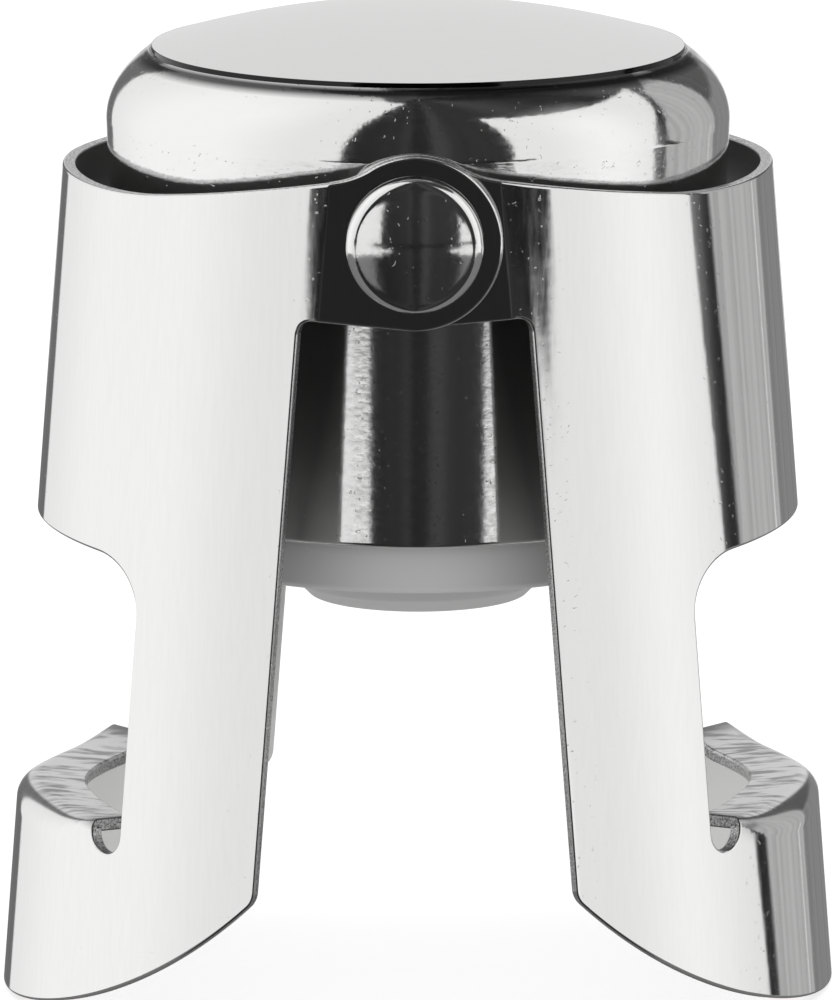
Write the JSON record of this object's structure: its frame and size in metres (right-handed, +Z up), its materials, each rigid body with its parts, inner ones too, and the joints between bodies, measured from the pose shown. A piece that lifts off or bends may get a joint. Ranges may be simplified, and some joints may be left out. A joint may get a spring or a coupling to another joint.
{
  "type": "bottle stopper",
  "caption": "Stopper for sparkling wine: round domed cap, sprung rubber seal and two hinged pressed-steel wings whose folded-in hooks grip under the ring of a bottle's neck.",
  "frame": {"origin": "on the floor, midway between the two feet, straight below the middle of the pivot line", "axes": "+Z up through the middle of the cap, -Y towards the front rivet, -X towards the left wing"},
  "size_m": [0.0454, 0.0412, 0.0536],
  "materials": {
    "polished_steel": "polished, with fine drawing and brushing marks",
    "satin_steel": "plain turned",
    "spring_steel": "drawn wire",
    "moulded_plastic": "moulded",
    "grey_plastic": "moulded",
    "grey_rubber": "smooth matt silicone"
  },
  "bodies": {
    "cap": {"cap_shell": "polished_steel", "cap_core": "moulded_plastic", "body_sleeve": "polished_steel", "front_rivet": "polished_steel", "rear_rivet": "polished_steel", "front_bush": "satin_steel", "rear_bush": "satin_steel", "front_burr": "satin_steel", "rear_burr": "satin_steel", "spring": "spring_steel"},
    "left_wing": {"left_wing": "polished_steel"},
    "right_wing": {"right_wing": "polished_steel"},
    "plunger": {"plunger": "grey_plastic", "retaining_clip": "satin_steel", "seal": "grey_rubber"}
  },
  "joints": [
    {"name": "left_wing_hinge", "type": "hinge", "parent": "cap", "child": "left_wing", "pos_m": [0, 0, 0.04367], "axis": [0, 1, 0], "range_deg": [-12.9, 77.5]},
    {"name": "right_wing_hinge", "type": "hinge", "parent": "cap", "child": "right_wing", "pos_m": [0, 0, 0.04367], "axis": [0, -1, 0], "range_deg": [-12.9, 77.5]},
    {"name": "plunger_slide", "type": "slide", "parent": "cap", "child": "plunger", "axis": [0, 0, 1], "range_m": [0, 0.0024], "stiffness_N_per_m": 800, "springref_m": -0.003, "deforming": ["spring"]}
  ]
}
